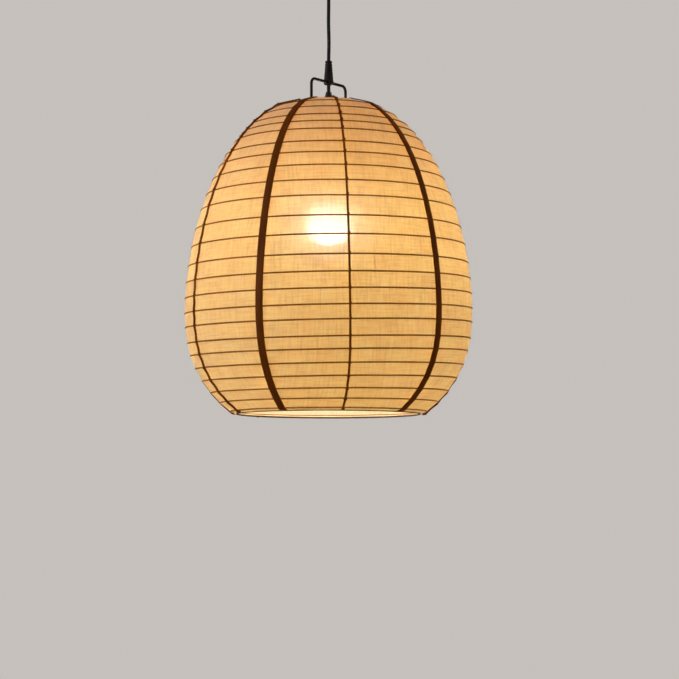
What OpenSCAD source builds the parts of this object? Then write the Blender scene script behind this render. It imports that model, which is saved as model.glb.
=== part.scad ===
// Hanging lamp shade: fabric over wire hoops, with straps and rib cords, on a corded ceiling fitting.
// The origin is the centre of the ceiling bar's top face, on the ceiling. +Z is up and the first strap
// is on the -Y side. Heights inside the shade are counted up from the plane of its bottom rim.

/* [Shade] */
// Largest diameter of the fabric cover
shade_d = 400; // [320:1:480]
// Height of the fabric cover, from the bottom rim to the top collar
shade_h = 440; // [360:1:530]
// Height of the widest place above the bottom rim
belly_h = 145; // [110:1:180]
// Diameter of the open mouth at the bottom
mouth_d = 261; // [200:1:310]
// Diameter of the open collar at the top
collar_d = 88; // [80:1:130]
// Roundness of the lower half: 2 is an ellipse, more is squarer
lower_power = 2.4; // [2:0.1:3]
// Fullness of the upper half: less is more pointed
upper_power = 1.8; // [1.6:0.05:2.2]
// Squareness of the shoulder: 2 is an ellipse, more is squarer
shoulder_power = 2.5; // [2:0.1:3]

/* [Cover] */
// Thickness of the fabric and its lining together
cover_t = 0.8; // [0.5:0.1:1.5]
// Gap between two panels at a seam, in degrees
seam_gap = 0.3; // [0.2:0.1:1]

/* [Hoops] */
// Number of wire hoops
hoop_count = 24; // [20:1:24]
// Diameter of the hoop wire
hoop_wire_d = 2; // [1.2:0.1:2.8]
// Distance along the cover from the bottom rim to the first hoop
first_hoop = 7; // [4:0.5:12]
// Distance along the cover from the last hoop to the collar
last_hoop_gap = 34; // [20:1:50]
// How far the hoops crowd together near the rim and near the collar
hoop_crowd = 8.2; // [0:0.1:9]
// How far the hoops lean out of level half way up, in degrees
hoop_lean = 2.6; // [0:0.1:3]

/* [Ribs] */
// Width of a flat strap
strap_w = 11; // [8:0.5:16]
// Thickness of a flat strap
strap_t = 1.5; // [1:0.1:2.5]
// Thickness of a rib cord
rib_cord_d = 2.6; // [2:0.1:4]

/* [Wire frame] */
// Diameter of the wire of the top ring and of the bracket
frame_wire_d = 4; // [3:0.5:6]
// Diameter of the wire round the mouth
mouth_wire_d = 2.4; // [1.6:0.2:4]
// Height of the bracket's bar above the top ring
bracket_rise = 32; // [26:1:44]
// Angle of the bracket's bar from the first strap
bracket_turn = -9; // [-20:1:20]
// Inside radius of the bracket's two bends
bend_r = 6; // [4:0.5:10]
// Outer diameter of the eye in the middle of the bracket
eye_d = 14; // [14:1:24]

/* [Cord] */
// Diameter of the supply cord
cord_d = 5; // [4:0.5:6]
// Length of the strain relief above the bracket
relief_len = 28; // [20:1:36]
// Diameter of the strain relief at its base
relief_base_d = 13.2; // [12:0.2:18]
// Diameter of the strain relief at its tip
relief_tip_d = 9.4; // [8.4:0.2:12]
// Diameter of the hole in the bracket's eye
eye_hole_d = 8; // [7.8:0.1:10]
// Length of bare cord between the strain relief and the lampholder
neck_len = 10.5; // [4:0.5:20]

/* [Ceiling fitting] */
// Diameter of the canopy
canopy_d = 100; // [90:1:140]
// Depth of the canopy
canopy_h = 25; // [22:1:30]
// Wall of the canopy
canopy_t = 1.5; // [1:0.1:2.5]
// Distance between the two ceiling screw holes
screw_spacing = 70; // [50:1:76]
// Diameter of a ceiling screw hole
screw_hole_d = 4.5; // [4:0.1:6]
// Diameter of the swivel ball in the cord grip
ball_d = 10; // [8:0.5:11]

/* [Lampholder and bulb] */
// Outer diameter of the lampholder
holder_d = 38; // [34:1:44]
// Length of the lampholder's skirt
holder_skirt_h = 57; // [50:1:70]
// Height of the lampholder's tapered cap
holder_cap_h = 54; // [40:1:64]
// Diameter of the bulb's screw cap
bulb_cap_d = 26.3; // [26:0.1:27]
// Diameter of the bulb's globe
bulb_d = 60; // [45:1:80]
// Length of the bulb below the lampholder
bulb_len = 112; // [100:1:130]

/* [Clearances] */
// Gap between layers that lie on each other
layer_gap = 0.25; // [0.2:0.05:0.5]
// Gap between bodies that move past each other
motion_gap = 0.3; // [0.3:0.05:0.6]
// Radial clearance of a turning fit
turn_fit = 0.05; // [0.02:0.01:0.1]
// Radial gap between the cord and what it passes through
cord_gap = 0.1; // [0.05:0.05:0.3]
// Gap between the bracket's leg and the fabric at the collar
leg_gap = 1; // [0.5:0.1:3]

/* [Hidden] */
$fn = 64;
shade_r = shade_d / 2;
mouth_r = mouth_d / 2;
collar_r = collar_d / 2;
wire_r = frame_wire_d / 2;
mouth_wire_r = mouth_wire_d / 2;
cord_r = cord_d / 2;
ball_r = ball_d / 2;
holder_r = holder_d / 2;
holder_wall = 2;

// The cover's outline is half of a squared ellipse above the belly and half of another below it, each
// given as [height of the half, power up the height, power out along the radius].
upper_h = (shade_h - belly_h) / pow(1 - pow(collar_r / shade_r, shoulder_power), 1 / upper_power);
lower_h = belly_h / pow(1 - pow(mouth_r / shade_r, 2), 1 / lower_power);
function half_at(h) = h > belly_h ? [upper_h, upper_power, shoulder_power] : [lower_h, lower_power, 2];
function outline_r(h) = let (half = half_at(h))
    shade_r * pow(1 - pow(abs(h - belly_h) / half[0], half[1]), 1 / half[2]);
// How fast the radius grows with height.
function outline_slope(h) = let (half = half_at(h))
    -sign(h - belly_h) * shade_r * half[1] / (half[2] * half[0])
        * pow(abs(h - belly_h) / half[0], half[1] - 1) * pow(outline_r(h) / shade_r, 1 - half[2]);
// A point at a distance out from the outline, square to it.
function outline_at(h, out) =
    let (slope = outline_slope(h), long = sqrt(1 + slope * slope))
    [outline_r(h) + out / long, h - out * slope / long];

// Length along the outline from the mouth, as [length, height] rows, so that a length gives a height.
arc_steps = 150;
function step_h(i) = shade_h * i / arc_steps;
function step_len(i) = norm([outline_r(step_h(i)) - outline_r(step_h(i - 1)), shade_h / arc_steps]);
arc = [for (i = 0, len = 0; i <= arc_steps; i = i + 1, len = len + step_len(i)) [len, step_h(i)]];
arc_len = arc[arc_steps][0];

// The hoops sit closer together near the mouth and near the collar, and each was tied on by hand, up to
// a few millimetres off.
hoop_nudge = [0, -1, -2, -1, 0, 1, 0, 3, 2, 1, -1, -3, -2, -2, 1, 0, 1, 1, 0, 4, 1, -3, -2, 0];
hoop_pitch = (arc_len - first_hoop - last_hoop_gap) / (hoop_count - 1);
function hoop_len(n) = let (t = 360 * (n - 1) / hoop_count)
    first_hoop + (n - 1) * hoop_pitch - hoop_crowd * (sin(t) - sin(2 * t) / 2) + hoop_nudge[n - 1];
function hoop_h(n) = lookup(hoop_len(n), arc);
// The lean is greatest low on the shade and dies out towards the rim and the collar.
lean_fade = 2.2;
function lean_at(h) = hoop_lean * sin(180 * pow(1 - h / shade_h, lean_fade));

// The cover runs straight from hoop to hoop.
cover_hs = concat([0], [for (n = [1:hoop_count]) hoop_h(n)], [shade_h]);
// The straps and rib cords follow the outline smoothly.
band_steps = 56;
band_hs = [for (i = [0:band_steps]) lookup(arc_len * i / band_steps, arc)];
// A band between two distances out from the outline, cut level at the rim.
function level_at(h, out) = let (point = outline_at(h, out), below = max(-point[1], 0))
    [point[0] + below * outline_slope(h), point[1] + below];
function band(hs, low, high) = concat(
    [for (h = hs) level_at(h, high)],
    [for (i = [len(hs) - 1:-1:0]) level_at(hs[i], low)]);
hoop_out = layer_gap + hoop_wire_d / 2;
rib_out = layer_gap + hoop_wire_d + layer_gap;

// Ribs stand about every 36 degrees, a strap then a cord. Each was laid by hand, a degree or so off, and
// the second cord and those after it were laid further round, which leaves one wide gap.
rib_nudge = [0, -1, 2, 18.5, 14, 10, 6, 3, 0, -1.5];
strap_count = 5;
rib_pitch = 180 / strap_count;
function strap_angle(k) = rib_pitch * 2 * (k - 1) + rib_nudge[2 * (k - 1)];
function cord_angle(k) = rib_pitch * (2 * k - 1) + rib_nudge[2 * k - 1];

// Rings inside the cover.
mouth_ring_r = mouth_r - cover_t - motion_gap - mouth_wire_r;
top_ring_r = collar_r - leg_gap - wire_r;
collar_slope = outline_slope(shade_h);
top_ring_h = shade_h + (collar_r - top_ring_r
    - (cover_t + motion_gap + wire_r) * sqrt(1 + collar_slope * collar_slope)) / -collar_slope;
bar_h = top_ring_h + bracket_rise;

// Cord and strain relief.
spigot_r = eye_hole_d / 2 - turn_fit;
relief_h = bar_h + wire_r + motion_gap;
clip_t = 1.2;
clip_r = eye_d / 2 - 1;
clip_top_h = bar_h - wire_r - motion_gap;
spigot_past_clip = 0.5;
spigot_low_h = clip_top_h - clip_t - spigot_past_clip;
// The cord hangs straight from the ball, with the little waviness that its coil left in it.
cord_route = [
    [0, 0, -165], [0, 0, -157], [0, 0, -149], [0, 0, -141], [0, 0, -134],
    [0.1, 0, -127], [0.3, 0.1, -120], [0.4, 0.1, -113], [0.4, 0, -106], [0.3, -0.1, -99],
    [0.1, -0.2, -92], [-0.1, -0.2, -85], [-0.2, -0.1, -78], [-0.2, 0, -71], [-0.1, 0, -64],
    [0, 0, -57], [0, 0, -50], [0, 0, -43.2]];
cord_sides = 12;
// The shade hangs from the cord's lower end, so this is how far its rim is below the ceiling.
drop = relief_h - cord_route[0][2];

// Ceiling fitting. The ball sits just above the cord's upper end.
ball_gap = 0.2;
pivot_depth = -cord_route[len(cord_route) - 1][2] - ball_r - ball_gap;
bar_t = 2;
bar_w = 16;
tab_drop = 12;
tab_screw_z = -8;
canopy_in_r = canopy_d / 2 - canopy_t;
bar_reach = canopy_in_r - motion_gap;
screw_r = 2;
grip_r = 8;
grip_past_ball = 3;
grip_bottom = -pivot_depth - grip_past_ball;
grip_stub_r = 5;
grip_stub_rise = 4;

// Lampholder and bulb, hanging on the cord.
cap_top_h = spigot_low_h - neck_len;
skirt_top_h = cap_top_h - holder_cap_h;
holder_low_h = skirt_top_h - holder_skirt_h;
bulb_cap_r = bulb_cap_d / 2;
liner_gap = 0.45;
shell_h = 21;
insulator_h = 3;
bulb_contact_t = 1.6;
holder_contact_t = 1.5;
// Depth of the socket, from the skirt's lower end to the floor over the bulb's contact.
contact_gap = 1.2;
seat_h = shell_h + insulator_h + bulb_contact_t + contact_gap + holder_contact_t;
globe_h = holder_low_h - bulb_len + bulb_d / 2;
globe_cut_share = 0.8;
globe_cut = globe_cut_share * bulb_d / 2;
neck_r = sqrt(pow(bulb_d / 2, 2) - pow(globe_cut, 2));

// Puts a shape that was made from the rim plane up where it hangs.
module hung() {
    translate([0, 0, -drop]) children();
}

// Ceiling fitting

module ceiling_bar() {
    color("silver") difference() {
        union() {
            translate([-bar_reach, -bar_w / 2, -bar_t]) cube([2 * bar_reach, bar_w, bar_t]);
            for (side = [-1, 1])
                translate([side * (bar_reach - bar_t / 2) - bar_t / 2, -bar_w / 2, -tab_drop])
                    cube([bar_t, bar_w, tab_drop]);
        }
        for (side = [-1, 1])
            translate([side * screw_spacing / 2, 0, -bar_t - 1])
                cylinder(d = screw_hole_d, h = bar_t + 2);
        translate([-bar_reach - 1, 0, tab_screw_z])
            rotate([0, 90, 0]) cylinder(r = screw_r, h = 2 * bar_reach + 2);
        // Cut square at the corners that the round canopy would meet.
        difference() {
            translate([-canopy_d, -canopy_d, -tab_drop - 1])
                cube([2 * canopy_d, 2 * canopy_d, tab_drop + 2]);
            translate([0, 0, -tab_drop - 2]) cylinder(r = bar_reach, h = tab_drop + 4);
        }
    }
}

module ceiling_canopy() {
    color("white") difference() {
        translate([0, 0, -canopy_h]) cylinder(d = canopy_d, h = canopy_h - motion_gap);
        translate([0, 0, canopy_t - canopy_h]) cylinder(r = canopy_in_r, h = canopy_h);
        translate([0, 0, -canopy_h - 1]) cylinder(r = grip_stub_r + layer_gap, h = canopy_t + 2);
        translate([-canopy_d, 0, tab_screw_z])
            rotate([0, 90, 0]) cylinder(r = screw_r + layer_gap, h = 2 * canopy_d);
    }
}

module canopy_screws() {
    head_h = 2.4;
    head_r = 3.6;
    shank_len = canopy_t + bar_t + 2;
    for (turn = [0, 180])
        color("gainsboro") rotate([0, 0, turn]) translate([canopy_d / 2 - shank_len, 0, tab_screw_z])
            rotate([0, 90, 0]) {
                cylinder(r = screw_r - turn_fit, h = shank_len + layer_gap);
                translate([0, 0, shank_len + layer_gap]) cylinder(r = head_r, h = head_h);
            }
}

module terminal_block() {
    block = [28, 18, 11];
    pole_pitch = 8;
    pole_r = 1.8;
    top = -bar_t - layer_gap;
    color("ivory") difference() {
        translate([-block[0] / 2, -block[1] / 2, top - block[2]]) cube(block);
        for (pole = [-1, 0, 1])
            translate([pole * pole_pitch, -block[1], top - block[2] / 2])
                rotate([-90, 0, 0]) cylinder(r = pole_r, h = 2 * block[1]);
    }
}

module cord_grip() {
    color("white") difference() {
        union() {
            translate([0, 0, grip_bottom])
                cylinder(r1 = grip_r - 1, r2 = grip_r, h = -canopy_h - grip_bottom);
            translate([0, 0, -canopy_h]) cylinder(r = grip_stub_r, h = canopy_t + grip_stub_rise);
        }
        translate([0, 0, -pivot_depth]) sphere(r = ball_r + motion_gap);
    }
}

module grip_ball() {
    color("dimgray") translate([0, 0, -pivot_depth]) sphere(r = ball_r);
}

// Cord

module tube_along(route, r, sides) {
    last = len(route) - 1;
    function way(i) = let (d = route[min(i + 1, last)] - route[max(i - 1, 0)]) d / norm(d);
    function across(i) = let (c = cross(way(i), [0, 1, 0])) c / norm(c);
    points = [for (i = [0:last], k = [0:sides - 1])
        let (t = way(i), u = across(i), v = cross(t, u), a = 360 * k / sides)
        route[i] + r * (cos(a) * u + sin(a) * v)];
    walls = [for (i = [0:last - 1], k = [0:sides - 1])
        let (a = i * sides + k, b = i * sides + (k + 1) % sides)
        [a, a + sides, b + sides, b]];
    low_end = [for (k = [0:sides - 1]) k];
    high_end = [for (k = [sides - 1:-1:0]) last * sides + k];
    polyhedron(points, concat(walls, [low_end], [high_end]), convexity = 4);
}

module supply_cord() {
    color("black") tube_along(cord_route, cord_r, cord_sides);
}

module strain_relief() {
    groove_w = 1.4;
    groove_count = 4;
    groove_pitch = 3.9;
    first_groove = 12.3;
    core_r = relief_tip_d / 2 - 0.6;
    color("black") hung() difference() {
        union() {
            translate([0, 0, relief_h])
                cylinder(d1 = relief_base_d, d2 = relief_tip_d, h = relief_len);
            translate([0, 0, spigot_low_h]) cylinder(r = spigot_r, h = relief_h - spigot_low_h);
        }
        translate([0, 0, spigot_low_h - 1])
            cylinder(r = cord_r + cord_gap, h = relief_len + relief_h - spigot_low_h + 2);
        // Grooves that let it bend.
        for (i = [0:groove_count - 1])
            translate([0, 0, relief_h + first_groove + i * groove_pitch])
                difference() {
                    cylinder(d = relief_base_d, h = groove_w);
                    translate([0, 0, -1]) cylinder(r = core_r, h = groove_w + 2);
                }
    }
}

module relief_clip() {
    color("dimgray") hung() translate([0, 0, clip_top_h - clip_t]) difference() {
        cylinder(r = clip_r, h = clip_t);
        translate([0, 0, -1]) cylinder(r = spigot_r + turn_fit, h = clip_t + 2);
    }
}

module holder_cord() {
    // How far the cord reaches into the lampholder's cap.
    tail = 8;
    color("black") hung() translate([0, 0, cap_top_h - tail])
        cylinder(r = cord_r, h = relief_h - cap_top_h + tail - layer_gap);
}

// Lampholder

module holder_cap() {
    side_h = 24;
    bevel = 2;
    bevel_top_h = 32;
    spout_r = 5;
    spout_h = 6;
    spout_tip_r = 4;
    foot_r = spout_r + 3;
    foot_drop = 2;
    bore_r = cord_r + cord_gap;
    bore_h = 10;
    color("black") hung() translate([0, 0, skirt_top_h + layer_gap]) rotate_extrude() polygon([
        [holder_r, 0],
        [holder_r, side_h],
        [holder_r - bevel, bevel_top_h],
        [foot_r, holder_cap_h - spout_h - foot_drop],
        [spout_r, holder_cap_h - spout_h],
        [spout_tip_r, holder_cap_h],
        [bore_r, holder_cap_h],
        [bore_r, holder_cap_h - bore_h],
        [holder_r - bevel - holder_wall, bevel_top_h - 1],
        [holder_r - holder_wall, side_h - 1],
        [holder_r - holder_wall, 0]]);
}

module holder_skirt() {
    // The cap pushes over this collar, so it stands inside the cap's wall.
    collar_out_r = holder_r - holder_wall - layer_gap;
    collar_rise = 6;
    floor_t = 4;
    liner_r = bulb_cap_r + liner_gap;
    finger_grooves = 3;
    groove_pitch = 8;
    groove_w = 2;
    groove_depth = 0.8;
    color("black") hung() translate([0, 0, holder_low_h]) difference() {
        union() {
            cylinder(r = holder_r, h = holder_skirt_h);
            cylinder(r = collar_out_r, h = holder_skirt_h + collar_rise);
        }
        translate([0, 0, -1]) cylinder(r = liner_r, h = seat_h + 1);
        // Wiring space over the insulating floor.
        translate([0, 0, seat_h + floor_t]) cylinder(r = liner_r, h = holder_skirt_h);
        // Grooves for the fingers.
        for (i = [1:finger_grooves])
            translate([0, 0, groove_pitch * i]) difference() {
                cylinder(r = holder_r + 1, h = groove_w);
                translate([0, 0, -1]) cylinder(r = holder_r - groove_depth, h = groove_w + 2);
            }
    }
}

module holder_contact() {
    contact_r = 4;
    color("goldenrod") hung() translate([0, 0, seat_h + holder_low_h - holder_contact_t])
        cylinder(r = contact_r, h = holder_contact_t - layer_gap);
}

// Bulb

module bulb_cap() {
    tip_r = 6;
    color("silver") hung() translate([0, 0, holder_low_h - motion_gap]) rotate_extrude() polygon([
        [0, 0],
        [bulb_cap_r, 0],
        [bulb_cap_r, shell_h],
        [tip_r, shell_h + insulator_h],
        [0, shell_h + insulator_h]]);
}

module bulb_contact() {
    contact_r = 4.5;
    color("goldenrod") hung() translate([0, 0, holder_low_h + shell_h + insulator_h])
        cylinder(r = contact_r, h = bulb_contact_t);
}

module bulb_neck() {
    low = globe_h + globe_cut + layer_gap;
    high = holder_low_h - motion_gap - layer_gap;
    waist_r = neck_r - 1.5;
    waist_share = 0.45;
    waist_h = low + waist_share * (high - low);
    lip_r = bulb_cap_r + 0.9;
    lip_h = 4;
    color("white") hung() rotate_extrude() polygon([
        [0, low],
        [neck_r, low],
        [waist_r, waist_h],
        [lip_r, high - lip_h],
        [lip_r, high],
        [0, high]]);
}

module bulb_globe() {
    wall = 1.4;
    color("lightyellow") hung() translate([0, 0, globe_h]) difference() {
        sphere(d = bulb_d);
        sphere(d = bulb_d - 2 * wall);
        translate([0, 0, globe_cut]) cylinder(d = bulb_d, h = bulb_d);
    }
}

// Wire frame

module bracket() {
    leg_top = bar_h - bend_r - wire_r;
    bar_end = top_ring_r - bend_r - wire_r;
    weld = 1;
    color("saddlebrown") hung() rotate([0, 0, bracket_turn]) {
        difference() {
            union() {
                for (side = [-1, 1]) {
                    translate([0, side * top_ring_r, top_ring_h + wire_r - weld])
                        cylinder(r = wire_r, h = leg_top - top_ring_h - wire_r + weld);
                    translate([0, side * bar_end, leg_top])
                        rotate([0, -90, 0]) rotate([0, 0, side > 0 ? 0 : -90])
                        rotate_extrude(angle = 90) translate([bend_r + wire_r, 0]) circle(r = wire_r);
                }
                translate([0, bar_end, bar_h]) rotate([90, 0, 0]) cylinder(r = wire_r, h = 2 * bar_end);
                translate([0, 0, bar_h - wire_r]) cylinder(d = eye_d, h = frame_wire_d);
            }
            translate([0, 0, bar_h - wire_r - 1]) cylinder(d = eye_hole_d, h = frame_wire_d + 2);
        }
    }
}

module wire_ring(r, wire, h) {
    hung() translate([0, 0, h]) rotate_extrude() translate([r, 0]) circle(r = wire);
}

module top_ring() {
    color("saddlebrown") wire_ring(top_ring_r, wire_r, top_ring_h);
}

module mouth_ring() {
    color("saddlebrown") wire_ring(mouth_ring_r, mouth_wire_r, 0);
}

// Cover and what lies on it

// Turns a shape in the XZ half plane to an angle counted from the first strap.
module at_angle(angle) {
    rotate([0, 0, angle - 90]) children();
}

module flat_band(low, high, width) {
    rotate([90, 0, 0]) linear_extrude(width, center = true) polygon(band(band_hs, low, high));
}

module strap(k) {
    color("#4a2a10") hung() at_angle(strap_angle(k)) flat_band(rib_out, rib_out + strap_t, strap_w);
}

module rib_cord(k) {
    color("#3c2410") hung() at_angle(cord_angle(k)) flat_band(rib_out, rib_out + rib_cord_d, rib_cord_d);
}

module cover_panel(k) {
    from = strap_angle(k) + seam_gap / 2;
    to = (k == strap_count ? 360 + strap_angle(1) : strap_angle(k + 1)) - seam_gap / 2;
    color("#f0be70") hung() at_angle(from) rotate_extrude(angle = to - from)
        polygon(band(cover_hs, -cover_t, 0));
}

module hoop(n) {
    h = hoop_h(n);
    middle = outline_at(h, hoop_out);
    // The axis height about which a small lean keeps the hoop on the cover.
    lean_h = h + outline_r(h) * outline_slope(h);
    color("#7a4a14") hung() translate([0, 0, lean_h]) rotate([lean_at(h), 0, 0])
        rotate_extrude() translate([middle[0], middle[1] - lean_h]) circle(d = hoop_wire_d, $fn = 24);
}

ceiling_bar();
ceiling_canopy();
canopy_screws();
terminal_block();
cord_grip();
grip_ball();
supply_cord();
strain_relief();
relief_clip();
holder_cord();
holder_cap();
holder_skirt();
holder_contact();
bulb_contact();
bulb_cap();
bulb_neck();
bulb_globe();
bracket();
top_ring();
mouth_ring();
for (k = [1:strap_count]) {
    strap(k);
    rib_cord(k);
    cover_panel(k);
}
for (n = [1:hoop_count])
    hoop(n);
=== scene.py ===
"""A hanging lamp shade: linen over thin wire hoops, with flat cane straps and twine ribs.

It is lit by the bulb inside it.
"""

import math
import random

import bpy
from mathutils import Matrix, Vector, noise


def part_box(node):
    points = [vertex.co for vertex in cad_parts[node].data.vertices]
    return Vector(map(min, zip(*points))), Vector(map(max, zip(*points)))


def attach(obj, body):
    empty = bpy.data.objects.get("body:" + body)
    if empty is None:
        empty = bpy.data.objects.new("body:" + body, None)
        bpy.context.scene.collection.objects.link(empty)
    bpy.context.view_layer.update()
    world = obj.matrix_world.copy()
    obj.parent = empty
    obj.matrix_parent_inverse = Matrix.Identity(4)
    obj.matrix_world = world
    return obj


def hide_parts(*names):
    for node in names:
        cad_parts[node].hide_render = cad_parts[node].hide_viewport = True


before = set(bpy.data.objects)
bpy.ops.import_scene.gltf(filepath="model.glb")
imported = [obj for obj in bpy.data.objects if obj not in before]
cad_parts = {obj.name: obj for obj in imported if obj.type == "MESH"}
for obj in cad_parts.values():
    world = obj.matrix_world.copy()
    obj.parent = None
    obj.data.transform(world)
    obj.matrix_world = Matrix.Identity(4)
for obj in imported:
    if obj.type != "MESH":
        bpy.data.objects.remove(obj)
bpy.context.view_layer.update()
scene = bpy.context.scene
MM = 0.001


# Places that the frame gives


def box_size(node):
    low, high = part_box(node)
    return [high[i] - low[i] for i in range(3)]


def box_middle(node):
    low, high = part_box(node)
    return Vector([(low[i] + high[i]) / 2 for i in range(3)])


HOOPS = sorted(
    (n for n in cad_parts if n.startswith("hoop_")),
    key=lambda n: int(n.split("_")[1]),
)
PANELS = sorted(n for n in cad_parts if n.startswith("cover_panel_"))
RIM_Z = box_middle("mouth_ring").z
COLLAR_Z = max(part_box(n)[1][2] for n in PANELS)
COVER_T = 0.8 * MM
# From the mouth ring to the cloth round it, and from the bracket's legs out to the collar's edge.
MOUTH_RING_GAP = 0.3 * MM
LEG_GAP = 1 * MM
HOOP_WIRE = 2 * MM
STRAP_W, STRAP_T = 11 * MM, 1.5 * MM
TWINE_D = 3.3 * MM
# Angles of the straps and of the twine ribs, from the -Y side towards +X, in degrees.
STRAP_ANGLES = [0, 74, 158, 222, 288]
TWINE_ANGLES = [35, 126.5, 190, 255, 322.5]


# The photograph's camera: 3.05 m away and a little below the rim, looking up at the shade.
CAMERA_AZIMUTH = 27
CAMERA_DISTANCE = 3.049
CAMERA_BELOW_RIM = 0.134
CAMERA_PITCH = 4.47
CAMERA_YAW = 0.289
CAMERA_LENS, CAMERA_SENSOR = 115.6, 36


def make_camera():
    data = bpy.data.cameras.new("photo_camera")
    data.sensor_width = CAMERA_SENSOR
    data.lens = CAMERA_LENS
    data.clip_start, data.clip_end = 0.05, 100
    camera = bpy.data.objects.new("photo_camera", data)
    turn = math.radians(CAMERA_AZIMUTH)
    camera.location = (
        math.sin(turn) * CAMERA_DISTANCE,
        -math.cos(turn) * CAMERA_DISTANCE,
        RIM_Z - CAMERA_BELOW_RIM,
    )
    camera.rotation_euler = (
        math.radians(90 + CAMERA_PITCH),
        0,
        turn - math.radians(CAMERA_YAW),
    )
    scene.collection.objects.link(camera)
    scene.camera = camera


make_camera()


# Making pieces


def add_piece(piece, body):
    scene.collection.objects.link(piece)
    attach(piece, body)
    return piece


def mesh_piece(name, points, faces, material, body, uvs=None):
    """A smooth mesh piece. uvs gives one (u, v) for each corner of each face, in face order."""
    mesh = bpy.data.meshes.new(name)
    mesh.from_pydata([tuple(p) for p in points], [], faces)
    mesh.polygons.foreach_set("use_smooth", [True] * len(mesh.polygons))
    if uvs:
        layer = mesh.uv_layers.new(name="cloth")
        layer.data.foreach_set("uv", [x for uv in uvs for x in uv])
    mesh.materials.append(material)
    mesh.update()
    return add_piece(bpy.data.objects.new(name, mesh), body)


def frames_along(path):
    """(point, side, up) at each point of a path, turned as little as possible between them."""
    found, up = [], None
    for i, p in enumerate(path):
        way = (path[min(i + 1, len(path) - 1)] - path[max(i - 1, 0)]).normalized()
        if up is None:
            up = way.orthogonal().normalized()
        up = (up - up.dot(way) * way).normalized()
        found.append((p, way.cross(up), up))
    return found


def tube(path, radius, sides, points, faces):
    """Adds a round tube along a path, closed at its ends, to points and faces."""
    first, rings = len(points), frames_along(path)
    for p, side, up in rings:
        for k in range(sides):
            a = 2 * math.pi * k / sides
            points.append(p + radius * (math.cos(a) * side + math.sin(a) * up))
    last = first + (len(rings) - 1) * sides
    for a in range(first, last, sides):
        b = a + sides
        for k in range(sides):
            faces.append((a + k, a + (k + 1) % sides, b + (k + 1) % sides, b + k))
    faces.append(tuple(first + k for k in reversed(range(sides))))
    faces.append(tuple(last + k for k in range(sides)))


def smooth_path(knots, steps):
    """A Catmull-Rom curve through the knots."""
    path = []
    last = len(knots) - 1
    for i in range(last):
        a, b, c, d = (knots[min(max(j, 0), last)] for j in (i - 1, i, i + 1, i + 2))
        for s in range(steps):
            t = s / steps
            path.append(0.5 * (2 * b + (c - a) * t + (2 * a - 5 * b + 4 * c - d) * t * t
                               + (3 * b - 3 * c + d - a) * t * t * t))
    return path + [knots[-1]]


# Materials


class Shader:
    """A material's node tree, with short calls to add nodes and set what they need."""

    def __init__(self, name):
        self.material = bpy.data.materials.new(name)
        self.material.use_nodes = True
        self.tree = self.material.node_tree
        self.tree.nodes.clear()

    def add(self, kind, settings=None, **inputs):
        made = self.tree.nodes.new("ShaderNode" + kind)
        for key, value in (settings or {}).items():
            setattr(made, key, value)
        for key, value in inputs.items():
            self.feed(made.inputs[key.replace("_", " ")], value)
        return made

    def feed(self, socket, value):
        if isinstance(value, bpy.types.NodeSocket):
            self.tree.links.new(value, socket)
        elif isinstance(value, bpy.types.Node):
            self.tree.links.new(value.outputs[0], socket)
        else:
            socket.default_value = value

    def maths(self, operation, a, b=0.0):
        made = self.add("Math", {"operation": operation})
        self.feed(made.inputs[0], a)
        self.feed(made.inputs[1], b)
        return made.outputs[0]

    def scaled(self, vector, factors):
        made = self.add("VectorMath", {"operation": "MULTIPLY"})
        self.feed(made.inputs[0], vector)
        made.inputs[1].default_value = factors
        return made.outputs[0]

    def noise(self, vector, scale=1.0, detail=2.0, rough=0.5):
        made = self.add("TexNoise", Vector=vector, Scale=scale, Detail=detail, Roughness=rough)
        return made.outputs["Fac"]

    def ramp(self, factor, *stops):
        """Colours between (place, colour) stops. A single number stands for a grey."""
        made = self.add("ValToRGB", Fac=factor)
        ends = made.color_ramp.elements
        while len(ends) < len(stops):
            ends.new(0.5)
        for element, (place, colour) in zip(ends, stops):
            if not isinstance(colour, tuple):
                colour = (colour, colour, colour)
            element.position = place
            element.color = (*colour, 1)
        return made.outputs["Color"]

    def mix(self, factor, a, b, how="MIX"):
        made = self.add("Mix", {"data_type": "RGBA", "blend_type": how})
        for index, value in ((0, factor), (6, a), (7, b)):
            if isinstance(value, tuple):
                value = (*value, 1)
            self.feed(made.inputs[index], value)
        return made.outputs[2]

    def bump(self, height, distance, strength):
        made = self.add("Bump", Height=height, Distance=distance, Strength=strength)
        return made.outputs["Normal"]

    def blend(self, factor, a, b):
        made = self.add("MixShader")
        for index, value in enumerate((factor, a, b)):
            self.feed(made.inputs[index], value)
        return made.outputs[0]

    def share(self, value, low, high):
        """How far a value is from low to high, from 0 to 1."""
        made = self.add("MapRange", Value=value)
        made.inputs["From Min"].default_value = low
        made.inputs["From Max"].default_value = high
        return made.outputs["Result"]

    def height(self):
        """The height of the shaded point in the frame."""
        at = self.add("TexCoord").outputs["Object"]
        return self.add("SeparateXYZ", Vector=at).outputs["Z"]

    def done(self, surface):
        self.feed(self.add("OutputMaterial").inputs["Surface"], surface)
        return self.material


THREAD_PITCH = 0.7 * MM
# How far down from the collar the light through the linen is darkened and browned, a painted shade.
TOP_SHADE_H = 170 * MM


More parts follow.
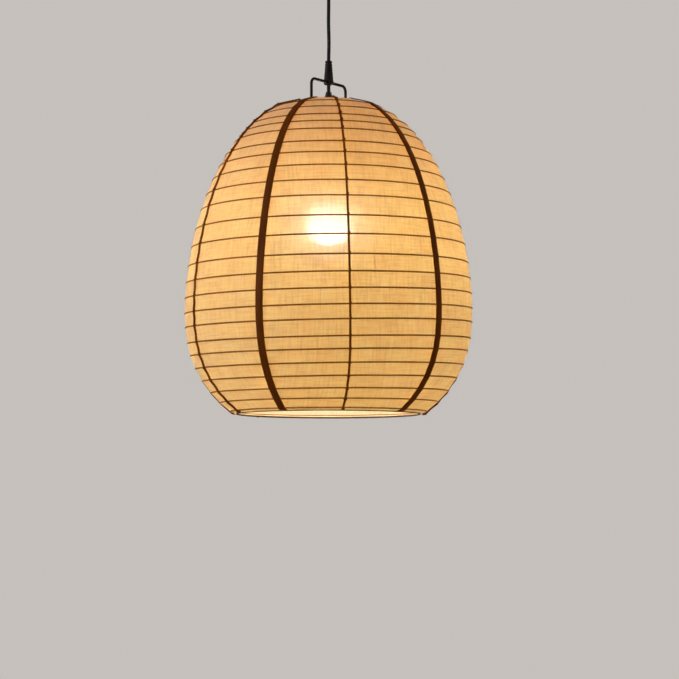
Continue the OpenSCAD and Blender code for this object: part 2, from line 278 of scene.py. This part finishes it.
def linen():
    """Slubby linen that lets light through. Its UV map is in metres, u round it and v up it."""
    s = Shader("linen")
    uv = s.add("UVMap", {"uv_map": "cloth"}).outputs["UV"]
    drift = s.noise(s.scaled(uv, (25, 25, 1)))
    # Threads of uneven thickness, slubs and flecks: streaks along both sets of threads.
    upright = s.noise(s.scaled(uv, (340, 34, 1)), detail=4, rough=0.66)
    level = s.noise(s.scaled(uv, (30, 380, 1)), detail=4, rough=0.66)
    slub_up = s.ramp(s.noise(s.scaled(uv, (300, 15, 1))), (0.58, 0.0), (0.70, 1.0))
    slub_level = s.ramp(s.noise(s.scaled(uv, (13, 330, 1))), (0.60, 0.0), (0.72, 1.0))
    cloud = s.noise(s.scaled(uv, (40, 40, 1)), detail=4, rough=0.6)
    thick = s.maths("ADD", s.maths("MULTIPLY", upright, 0.52), s.maths("MULTIPLY", level, 0.48))
    thick = s.maths("ADD", thick, s.maths("MULTIPLY", s.maths("SUBTRACT", cloud, 0.5), 0.24))
    thick = s.maths("ADD", thick, s.maths("MULTIPLY", s.maths("SUBTRACT", drift, 0.5), 0.1))
    flecks = s.ramp(s.noise(s.scaled(uv, (430, 520, 1)), detail=1), (0.66, 0.0), (0.74, 0.8))
    slubs = s.maths("MAXIMUM", s.maths("MAXIMUM", slub_up, slub_level), flecks)
    through = s.ramp(
        thick,
        (0.38, (1.0, 0.78, 0.30)),
        (0.50, (0.97, 0.61, 0.17)),
        (0.62, (0.74, 0.40, 0.08)),
    )
    through = s.mix(s.maths("MULTIPLY", slubs, 0.6), through, (0.52, 0.25, 0.04))
    # Painted shade: the light through the linen is darker and browner towards the collar.
    painted_top_shade = s.mix(1.0, through, (0.98, 0.76, 0.66), "MULTIPLY")
    through = s.mix(s.share(s.height(), COLLAR_Z - TOP_SHADE_H, COLLAR_Z), through, painted_top_shade)
    front = s.ramp(thick, (0.36, (0.97, 0.93, 0.82)), (0.64, (0.90, 0.83, 0.68)))
    # The weave itself, over and under.
    apart = s.add("SeparateXYZ", Vector=uv)
    step = 2 * math.pi / THREAD_PITCH
    wobble = s.maths("MULTIPLY", s.maths("SUBTRACT", drift, 0.5), 5.0)
    warp = s.maths("SINE", s.maths("ADD", s.maths("MULTIPLY", apart.outputs["X"], step), wobble))
    weft = s.maths("SINE", s.maths("ADD", s.maths("MULTIPLY", apart.outputs["Y"], step), wobble))
    weave = s.maths("ADD", s.maths("MULTIPLY", s.maths("MULTIPLY", warp, weft), 0.5),
                    s.maths("MULTIPLY", s.maths("ADD", thick, slubs), 1.2))
    normal = s.bump(weave, 0.12 * MM, 0.6)
    back = s.add("BsdfTranslucent", Color=through, Normal=normal)
    face = s.add("BsdfDiffuse", Color=front, Roughness=0.6, Normal=normal)
    cloth = s.blend(0.36, face, back)
    # A little light goes between the threads and scatters, so the bulb shows as a soft glow.
    between = s.add("BsdfRefraction", Color=(0.64, 0.74, 1.0, 1), Roughness=0.40, IOR=1.10)
    halo = s.add("BsdfRefraction", Color=(0.60, 0.76, 0.92, 1), Roughness=0.80, IOR=1.32)
    return s.done(s.blend(0.023, cloth, s.blend(0.66, between, halo)))


def lacquer(name, dark, light, rough):
    """Brown lacquered wire, worn lighter in places."""
    s = Shader(name)
    at = s.add("TexCoord").outputs["Object"]
    patches = s.noise(s.scaled(at, (40, 40, 8)), scale=6, detail=4, rough=0.6)
    colour = s.ramp(patches, (0.35, dark), (0.72, light))
    gloss = s.ramp(s.noise(at, scale=180, detail=3), (0.3, rough - 0.1), (0.8, rough + 0.15))
    normal = s.bump(s.noise(at, scale=900), 0.05 * MM, 0.4)
    return s.done(s.add("BsdfPrincipled", Base_Color=colour, Roughness=gloss, Normal=normal,
                        Specular_IOR_Level=0.3))


def cane():
    """Dark stained cane: fibres along its length, in a UV map in metres, u across and v along."""
    s = Shader("stained_cane")
    uv = s.add("UVMap", {"uv_map": "cloth"}).outputs["UV"]
    fibres = s.noise(s.scaled(uv, (1900, 22, 1)), detail=4, rough=0.65)
    fine = s.noise(s.scaled(uv, (5200, 90, 1)))
    patches = s.noise(s.scaled(uv, (60, 14, 1)), detail=3)
    grain = s.maths("ADD", s.maths("MULTIPLY", fibres, 0.6), s.maths("MULTIPLY", patches, 0.4))
    colour = s.ramp(
        grain,
        (0.34, (0.15, 0.034, 0.001)),
        (0.52, (0.27, 0.068, 0.002)),
        (0.72, (0.41, 0.130, 0.010)),
    )
    gloss = s.ramp(fibres, (0.3, 0.48), (0.75, 0.70))
    height = s.maths("ADD", fibres, s.maths("MULTIPLY", fine, 0.4))
    return s.done(s.add("BsdfPrincipled", Base_Color=colour, Roughness=gloss,
                        Normal=s.bump(height, 0.25 * MM, 0.7), Specular_IOR_Level=0.12))


def twine():
    """Waxed brown twine, its plies and fuzz."""
    s = Shader("waxed_twine")
    at = s.add("TexCoord").outputs["Object"]
    fuzz = s.noise(at, scale=1500, detail=4, rough=0.7)
    patches = s.noise(at, scale=40, detail=3)
    tone = s.maths("ADD", s.maths("MULTIPLY", fuzz, 0.5), s.maths("MULTIPLY", patches, 0.5))
    colour = s.ramp(
        tone,
        (0.35, (0.17, 0.040, 0.001)),
        (0.55, (0.29, 0.080, 0.003)),
        (0.75, (0.44, 0.16, 0.014)),
    )
    return s.done(s.add("BsdfPrincipled", Base_Color=colour, Roughness=0.72,
                        Specular_IOR_Level=0.12, Normal=s.bump(fuzz, 0.15 * MM, 0.8)))


def moulding(name, colour, rough, grain=0.03):
    """Moulded plastic or rubber: a fine spark texture, a little unevenness of colour and gloss."""
    s = Shader(name)
    at = s.add("TexCoord").outputs["Object"]
    cloud = s.noise(at, scale=30, detail=3)
    spark = s.noise(at, scale=2600)
    low, high = tuple(c * 0.86 for c in colour), tuple(min(1, c * 1.1) for c in colour)
    tint = s.ramp(cloud, (0.3, low), (0.7, high))
    gloss = s.ramp(s.noise(at, scale=90, detail=3), (0.3, rough - 0.06), (0.75, rough + 0.10))
    return s.done(s.add("BsdfPrincipled", Base_Color=tint, Roughness=gloss,
                        Normal=s.bump(spark, grain * MM, 0.5)))


def metal(name, colour, rough, stretch):
    """Plated metal, brushed along the axis that stretch shrinks."""
    s = Shader(name)
    at = s.add("TexCoord").outputs["Object"]
    brush = s.noise(s.scaled(at, stretch), scale=60, detail=3, rough=0.6)
    low = tuple(c * 0.82 for c in colour)
    tint = s.ramp(brush, (0.3, low), (0.7, colour))
    gloss = s.ramp(s.noise(at, scale=60, detail=4), (0.3, rough - 0.06), (0.75, rough + 0.14))
    return s.done(s.add("BsdfPrincipled", Base_Color=tint, Metallic=1.0, Roughness=gloss,
                        Normal=s.bump(brush, 0.03 * MM, 0.4)))


BULB_STRENGTH = 124.0


def opal():
    """The lit opal globe of the bulb, brightest below and dimmer towards its neck."""
    s = Shader("lit_opal")
    low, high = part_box("bulb_globe")
    warm = s.ramp(
        s.share(s.height(), low[2], high[2]),
        (0.0, (1.0, 0.88, 0.66)),
        (0.45, (0.58, 0.51, 0.384)),
        (1.0, (0.18, 0.152, 0.107)),
    )
    return s.done(s.add("BsdfPrincipled", Base_Color=(0.9, 0.86, 0.78, 1), Roughness=0.35,
                        Emission_Color=warm, Emission_Strength=BULB_STRENGTH))


LINEN = linen()
CANE = cane()
TWINE = twine()
HOOP_BROWN = lacquer("brown_hoop_wire", (0.30, 0.105, 0.004), (0.48, 0.20, 0.012), 0.5)
FRAME_BROWN = lacquer("dark_frame_wire", (0.012, 0.0065, 0.0042), (0.035, 0.019, 0.011), 0.42)
RIM_BROWN = lacquer("rim_wire", (0.075, 0.032, 0.008), (0.15, 0.066, 0.016), 0.45)
BLACK_PLASTIC = moulding("black_moulding", (0.016, 0.0145, 0.0135), 0.42)
BLACK_RUBBER = moulding("black_rubber", (0.012, 0.0105, 0.010), 0.58, grain=0.06)
CABLE_BLACK = moulding("cable_sheath", (0.014, 0.0125, 0.012), 0.50, grain=0.04)
WHITE_PLASTIC = moulding("white_moulding", (0.78, 0.76, 0.72), 0.34)
WHITE_PAINT = moulding("white_powder_coat", (0.80, 0.785, 0.75), 0.48, grain=0.10)
IVORY = moulding("ivory_moulding", (0.70, 0.64, 0.48), 0.40)
ZINC = metal("zinc_plate", (0.62, 0.63, 0.64), 0.34, (1, 14, 14))
STEEL = metal("screw_steel", (0.60, 0.59, 0.57), 0.28, (4, 4, 4))
BRASS = metal("contact_brass", (0.78, 0.57, 0.26), 0.25, (8, 8, 1))
ALUMINIUM = metal("bulb_cap_metal", (0.78, 0.78, 0.79), 0.22, (1, 1, 30))

CAD_MATERIALS = {
    "ceiling_bar": ZINC,
    "ceiling_canopy": WHITE_PAINT,
    "canopy_screws": STEEL,
    "terminal_block": IVORY,
    "cord_grip": WHITE_PLASTIC,
    "grip_ball": BLACK_PLASTIC,
    "strain_relief": BLACK_RUBBER,
    "relief_clip": BLACK_PLASTIC,
    "holder_cord": CABLE_BLACK,
    "holder_cap": BLACK_PLASTIC,
    "holder_skirt": BLACK_PLASTIC,
    "holder_contact": BRASS,
    "bulb_contact": BRASS,
    "bulb_cap": ALUMINIUM,
    "bulb_neck": WHITE_PLASTIC,
    "bulb_globe": opal(),
    "bracket": FRAME_BROWN,
    "top_ring": FRAME_BROWN,
    "mouth_ring": RIM_BROWN,
    **{name: HOOP_BROWN for name in HOOPS},
}


def dress(node, material):
    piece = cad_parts[node]
    if not piece.material_slots:
        piece.data.materials.append(None)
    for place in piece.material_slots:
        place.link = "OBJECT"
        place.material = material


for node, material in CAD_MATERIALS.items():
    dress(node, material)


# The supply cord

CORD_ROUTE = [
    (0, 0, -165), (0, 0, -157), (0, 0, -149), (0, 0, -141), (0, 0, -134),
    (0.1, 0, -127), (0.3, 0.1, -120), (0.4, 0.1, -113), (0.4, 0, -106), (0.3, -0.1, -99),
    (0.1, -0.2, -92), (-0.1, -0.2, -85), (-0.2, -0.1, -78), (-0.2, 0, -71), (-0.1, 0, -64),
    (0, 0, -57), (0, 0, -50), (0, 0, -43.2)]
CORD_D = 5 * MM


def make_cord():
    """The cable from the strain relief up to the ceiling fitting, along the CAD's route."""
    data = bpy.data.curves.new("supply_cable", "CURVE")
    data.dimensions = "3D"
    data.bevel_depth = CORD_D / 2
    data.bevel_resolution = 6
    data.use_fill_caps = True
    data.resolution_u = 3
    line = data.splines.new("NURBS")
    line.points.add(len(CORD_ROUTE) - 1)
    for point, place in zip(line.points, CORD_ROUTE):
        point.co = (*[x * MM for x in place], 1)
    line.use_endpoint_u = True
    line.order_u = 4
    data.materials.append(CABLE_BLACK)
    cable = add_piece(bpy.data.objects.new("supply_cable", data), "cord")
    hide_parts("supply_cord")


make_cord()


# The rings that carry the cover


def hoop_ring(node):
    """(radius, middle, lean) of a hoop. It leans about X, and its box's height gives the lean."""
    width, _, height = box_size(node)
    radius = (width - HOOP_WIRE) / 2
    lean = math.asin(max(0.0, height - HOOP_WIRE) / (2 * radius))
    return radius, box_middle(node), lean


def ring_point(ring, turn, out=0.0, up=0.0):
    """A point of a ring, turn radians from -Y, moved out in the ring's plane and up from it."""
    radius, middle, lean = ring
    across, along = math.sin(turn) * (radius + out), -math.cos(turn) * (radius + out)
    return middle + Vector((across, along * math.cos(lean) - up * math.sin(lean),
                            along * math.sin(lean) + up * math.cos(lean)))


MOUTH_R = box_size("mouth_ring")[0] / 2 + MOUTH_RING_GAP + COVER_T
COLLAR_R = box_size("top_ring")[0] / 2 + LEG_GAP
# The cover hangs on these from the rim to the collar: its bottom edge, the hoops, and its top edge.
RINGS = [
    (MOUTH_R, Vector((0, 0, RIM_Z)), 0.0),
    *[hoop_ring(n) for n in HOOPS],
    (COLLAR_R, Vector((0, 0, COLLAR_Z)), 0.0),
]


def ring_normal(i):
    """(out, up) of the cover's normal at a ring, from its neighbours."""
    low, high = RINGS[max(i - 1, 0)], RINGS[min(i + 1, len(RINGS) - 1)]
    out, up = high[1].z - low[1].z, low[0] - high[0]
    size = math.hypot(out, up)
    return out / size, up / size


def is_edge(i):
    return i in (0, len(RINGS) - 1)


def out_way(i, turn):
    """The cover's outward normal at ring i, turn radians from -Y."""
    out, up = ring_normal(i)
    return Vector((math.sin(turn) * out, -math.cos(turn) * out, up))


def out_from(i, turn, over_wire, over_edge=0.0):
    """A point at ring i, moved out square to the cover: over_wire at a hoop, else over_edge."""
    out, up = ring_normal(i)
    reach = over_edge if is_edge(i) else over_wire
    place = ring_point(RINGS[i], turn, reach * out, reach * up)
    # Nothing hangs below the rim: a point that would is slid up along the cover.
    below = max(0.0, RIM_Z - place.z)
    return place + below * Vector((-math.sin(turn) * up / out, math.cos(turn) * up / out, 1))


# The linen cover

PANEL_COLUMNS = 64
ROWS_BETWEEN = 5
# How far the cloth is drawn in half way between two hoops, and how deep its ripples are.
SCALLOP = 0.25 * MM
RIPPLE = 0.2 * MM
# The noise scales of the ripples and of the finer ones on them.
RIPPLE_SCALE, FINE_SCALE = 38, 110
# Each gore's pattern lies this far round from the last, in metres, and up by a share of that.
GORE_SHIFT, GORE_SHIFT_UP = 0.37, 0.6


def cover_rows():
    """(ring, share of the way to the next ring) of each row of the cover."""
    rows = [(i, s / ROWS_BETWEEN) for i in range(len(RINGS) - 1) for s in range(ROWS_BETWEEN)]
    return rows + [(len(RINGS) - 2, 1.0)]


def cloth_point(i, share, turn):
    """A point of the cloth: straight from ring to ring, drawn in a little and rippled between."""
    place = out_from(i, turn, 0).lerp(out_from(i + 1, turn, 0), share)
    hollow = math.sin(math.pi * share)
    fine = noise.noise(place * FINE_SCALE) * RIPPLE * 0.5
    ripple = noise.noise(place * RIPPLE_SCALE) * RIPPLE + fine
    return place - out_way(i, turn) * hollow * (SCALLOP + ripple)


def make_cover():
    """Five gores from strap to strap, in one piece, each with its own part of the pattern."""
    points, faces, uvs = [], [], []
    rows = cover_rows()
    for k, (start, end) in enumerate(zip(STRAP_ANGLES, [*STRAP_ANGLES[1:], 360])):
        first, middle, shift = len(points), math.radians((start + end) / 2), GORE_SHIFT * k
        grid_uv, length, before = [], 0.0, None
        for i, share in rows:
            here = cloth_point(i, share, middle)
            length += (here - before).length if before else 0.0
            before = here
            for c in range(PANEL_COLUMNS + 1):
                turn = math.radians(start + (end - start) * c / PANEL_COLUMNS)
                place = cloth_point(i, share, turn)
                points.append(place)
                around = (turn - middle) * math.hypot(place.x, place.y)
                grid_uv.append((around + shift, length + GORE_SHIFT_UP * shift))
        wide = PANEL_COLUMNS + 1
        for row in range(len(rows) - 1):
            for c in range(PANEL_COLUMNS):
                a = row * wide + c
                corners = (a, a + 1, a + 1 + wide, a + wide)
                faces.append(tuple(first + x for x in corners))
                uvs += [grid_uv[x] for x in corners]
    cover = mesh_piece("linen_cover", points, faces, LINEN, "shade", uvs)
    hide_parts(*PANELS)


make_cover()


# Straps of cane


def rib_path(angle, over_wire, over_edge, sag, steps):
    """A smooth path up the outside of the hoops at an angle, pulled in by sag between them."""
    turn, knots = math.radians(angle), []
    for i in range(len(RINGS)):
        here = out_from(i, turn, over_wire, over_edge)
        if knots and not is_edge(i):
            knots.append(knots[-1].lerp(here, 0.5) - out_way(i, turn) * sag)
        knots.append(here)
    return smooth_path(knots, steps)


# A strap's section, as shares of its width across and of its thickness out.
STRAP_SECTION = [(-0.5, 0.12), (-0.47, 0.72), (-0.40, 0.93), (-0.2, 1.0), (0.0, 1.03), (0.2, 1.0),
                 (0.40, 0.93), (0.47, 0.72), (0.5, 0.12), (0.46, 0.0), (-0.46, 0.0)]
STRAP_OVER_EDGE = 0.3 * MM
STRAP_SAG = 0.1 * MM
# How much a strap's width varies, as a share, how far it wanders, and their noise scales.
STRAP_UNEVEN, UNEVEN_SCALE = 0.03, 22
STRAP_WANDER, WANDER_SCALE = 0.25 * MM, 14
# Each strap's part of the grain lies this far across and along from the last, in metres.
GRAIN_SHIFT = (0.05, 0.7)


def make_strap(k, angle):
    """A cane strip on the hoops, its edges rounded, with slight unevenness along it."""
    turn = math.radians(angle)
    across = Vector((math.cos(turn), math.sin(turn), 0))
    path = rib_path(angle, HOOP_WIRE / 2, STRAP_OVER_EDGE, STRAP_SAG, steps=3)
    points, faces, uvs, uv_rows = [], [], [], []
    along, before = 0.0, path[0]
    for i, p in enumerate(path):
        way = (path[min(i + 1, len(path) - 1)] - path[max(i - 1, 0)]).normalized()
        out = across.cross(way)
        along += (p - before).length
        before = p
        uneven = noise.noise(Vector((k * 7.1, along * UNEVEN_SCALE, 0)))
        width = STRAP_W * (1 + STRAP_UNEVEN * uneven)
        drift = STRAP_WANDER * noise.noise(Vector((k * 3.3, along * WANDER_SCALE, 5)))
        for x, y in STRAP_SECTION:
            place = p + across * (x * width + drift) + out * (y * STRAP_T)
            place.z = max(place.z, RIM_Z)
            points.append(place)
        v = along + GRAIN_SHIFT[1] * k
        uv_rows.append([(x * STRAP_W + GRAIN_SHIFT[0] * k, v) for x, _ in STRAP_SECTION])
    n = len(STRAP_SECTION)
    for i in range(len(path) - 1):
        for j in range(n):
            a, b = j, (j + 1) % n
            faces.append((i * n + a, i * n + b, (i + 1) * n + b, (i + 1) * n + a))
            uvs += [uv_rows[i][a], uv_rows[i][b], uv_rows[i + 1][b], uv_rows[i + 1][a]]
    for row, order in ((0, reversed(range(n))), (len(path) - 1, range(n))):
        corners = list(order)
        faces.append(tuple(row * n + j for j in corners))
        uvs += [uv_rows[row][j] for j in corners]
    strap = mesh_piece(f"cane_strap_{k}", points, faces, CANE, "shade", uvs)
    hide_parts(f"strap_{k}")


for number, strap_angle in enumerate(STRAP_ANGLES, 1):
    make_strap(number, strap_angle)


# Twine ribs, knotted round every hoop

TWIST_PITCH = 9 * MM
PLIES = 3
PLY_R = 0.31 * TWINE_D
TWINE_SAG = 0.5 * MM
# The hoops press this far into the twine.
TWINE_BITE = 0.2 * MM
OVER_WIRE = HOOP_WIRE / 2 + TWINE_D / 2 - TWINE_BITE
KNOT_THREAD_R = 0.5 * MM
KNOT_RISE, KNOT_SLANT = 2.4 * MM, 0.7 * MM
# Where a hitch starts and how far it winds, in half turns.
KNOT_START, KNOT_SWEEP = -0.25, 2.5
KNOT_STEPS = 26
# Most of the hitches slant the same way.
KNOT_SEED, KNOT_SAME_WAY = 200, 0.8


def make_twine(k, angle):
    """Plies twisted together, hitched to each hoop with a turn and a quarter of thread."""
    points, faces = [], []
    core = rib_path(angle, OVER_WIRE, TWINE_D / 2, TWINE_SAG, steps=8)
    rings, along = frames_along(core), 0.0
    plies = [[] for _ in range(PLIES)]
    for i, (p, side, up) in enumerate(rings):
        along += (p - rings[max(i - 1, 0)][0]).length
        for n, ply in enumerate(plies):
            a = 2 * math.pi * (along / TWIST_PITCH + n / PLIES)
            ply.append(p + (side * math.cos(a) + up * math.sin(a)) * (TWINE_D / 2 - PLY_R))
    for ply in plies:
        tube(ply, PLY_R, sides=8, points=points, faces=faces)
    turn, draw = math.radians(angle), random.Random(KNOT_SEED + k)
    for i in range(1, len(RINGS) - 1):
        make_hitch(points, faces, i, turn, 1 if draw.random() < KNOT_SAME_WAY else -1)
    piece = mesh_piece(f"twine_rib_{k}", points, faces, TWINE, "shade")
    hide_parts(f"rib_cord_{k}")


def make_hitch(points, faces, i, turn, lean):
    """A turn and a quarter of thread round the twine, slanting across it at ring i."""
    middle, out = out_from(i, turn, OVER_WIRE), out_way(i, turn)
    side = Vector((math.cos(turn), math.sin(turn), 0))
    way = out.cross(side)
    loop_r, path = TWINE_D / 2 + KNOT_THREAD_R * 0.5, []
    for s in range(KNOT_STEPS + 1):
        a = math.pi * (KNOT_START + KNOT_SWEEP * s / KNOT_STEPS)
        rise = (s / KNOT_STEPS - 0.5) * KNOT_RISE + lean * math.cos(a) * KNOT_SLANT
        path.append(middle + side * math.cos(a) * loop_r + out * math.sin(a) * loop_r + way * rise)
    tube(path, KNOT_THREAD_R, sides=6, points=points, faces=faces)


for number, twine_angle in enumerate(TWINE_ANGLES, 1):
    make_twine(number, twine_angle)


# Stage and light

FLOOR_REACH, FLOOR_Z = 14, -3.6
# The lights' aim, this far above the rim.
SHADE_MIDDLE_H = 0.22


def make_stage():
    """A plain pale floor, well below the shade."""
    mesh = bpy.data.meshes.new("floor")
    signs = [(-1, -1), (1, -1), (1, 1), (-1, 1)]
    corners = [(x * FLOOR_REACH, y * FLOOR_REACH, FLOOR_Z) for x, y in signs]
    mesh.from_pydata(corners, [], [(0, 1, 2, 3)])
    # The camera sees it as pale as the surround, but it throws up no more light than a floor does.
    s = Shader("pale_floor")
    lit = s.add("BsdfDiffuse", Color=(0.82, 0.80, 0.77, 1))
    seen = s.add("Emission", Color=(0.50, 0.475, 0.45, 1), Strength=1.0)
    mesh.materials.append(s.done(s.blend(s.add("LightPath").outputs["Is Camera Ray"], lit, seen)))
    floor = bpy.data.objects.new("floor", mesh)
    scene.collection.objects.link(floor)


def make_world():
    """A pale surround that lights the object only dimly, so that the lit cover keeps its colour."""
    world = bpy.data.worlds.new("studio")
    scene.world = world
    world.use_nodes = True
    tree = world.node_tree
    tree.nodes.clear()
    seen = tree.nodes.new("ShaderNodeBackground")
    seen.inputs["Color"].default_value = (0.56, 0.53, 0.50, 1)
    lit = tree.nodes.new("ShaderNodeBackground")
    lit.inputs["Color"].default_value = (0.115, 0.105, 0.095, 1)
    path = tree.nodes.new("ShaderNodeLightPath")
    mix = tree.nodes.new("ShaderNodeMixShader")
    out = tree.nodes.new("ShaderNodeOutputWorld")
    tree.links.new(path.outputs["Is Camera Ray"], mix.inputs[0])
    tree.links.new(lit.outputs[0], mix.inputs[1])
    tree.links.new(seen.outputs[0], mix.inputs[2])
    tree.links.new(mix.outputs[0], out.inputs[0])


def softbox(name, azimuth, elevation, distance, size, power, colour):
    """A large soft light, aimed at the middle of the shade."""
    data = bpy.data.lights.new(name, "AREA")
    data.shape, data.size = "DISK", size
    data.energy, data.color = power, colour
    lamp = bpy.data.objects.new(name, data)
    a, e = math.radians(azimuth), math.radians(elevation)
    aim = Vector((0, 0, RIM_Z + SHADE_MIDDLE_H))
    back = Vector((math.sin(a) * math.cos(e), -math.cos(a) * math.cos(e), math.sin(e)))
    lamp.location = aim + back * distance
    lamp.rotation_mode = "QUATERNION"
    lamp.rotation_quaternion = (-back).to_track_quat("-Z", "Y")
    scene.collection.objects.link(lamp)


make_stage()
make_world()
softbox("window_left", CAMERA_AZIMUTH - 75, 12, 3.2, 1.8, 26, (1.0, 0.95, 0.90))
softbox("fill_right", CAMERA_AZIMUTH + 70, 25, 3.5, 2.2, 9, (1.0, 0.93, 0.86))
scene.view_settings.view_transform = "Standard"
scene.view_settings.look = "None"
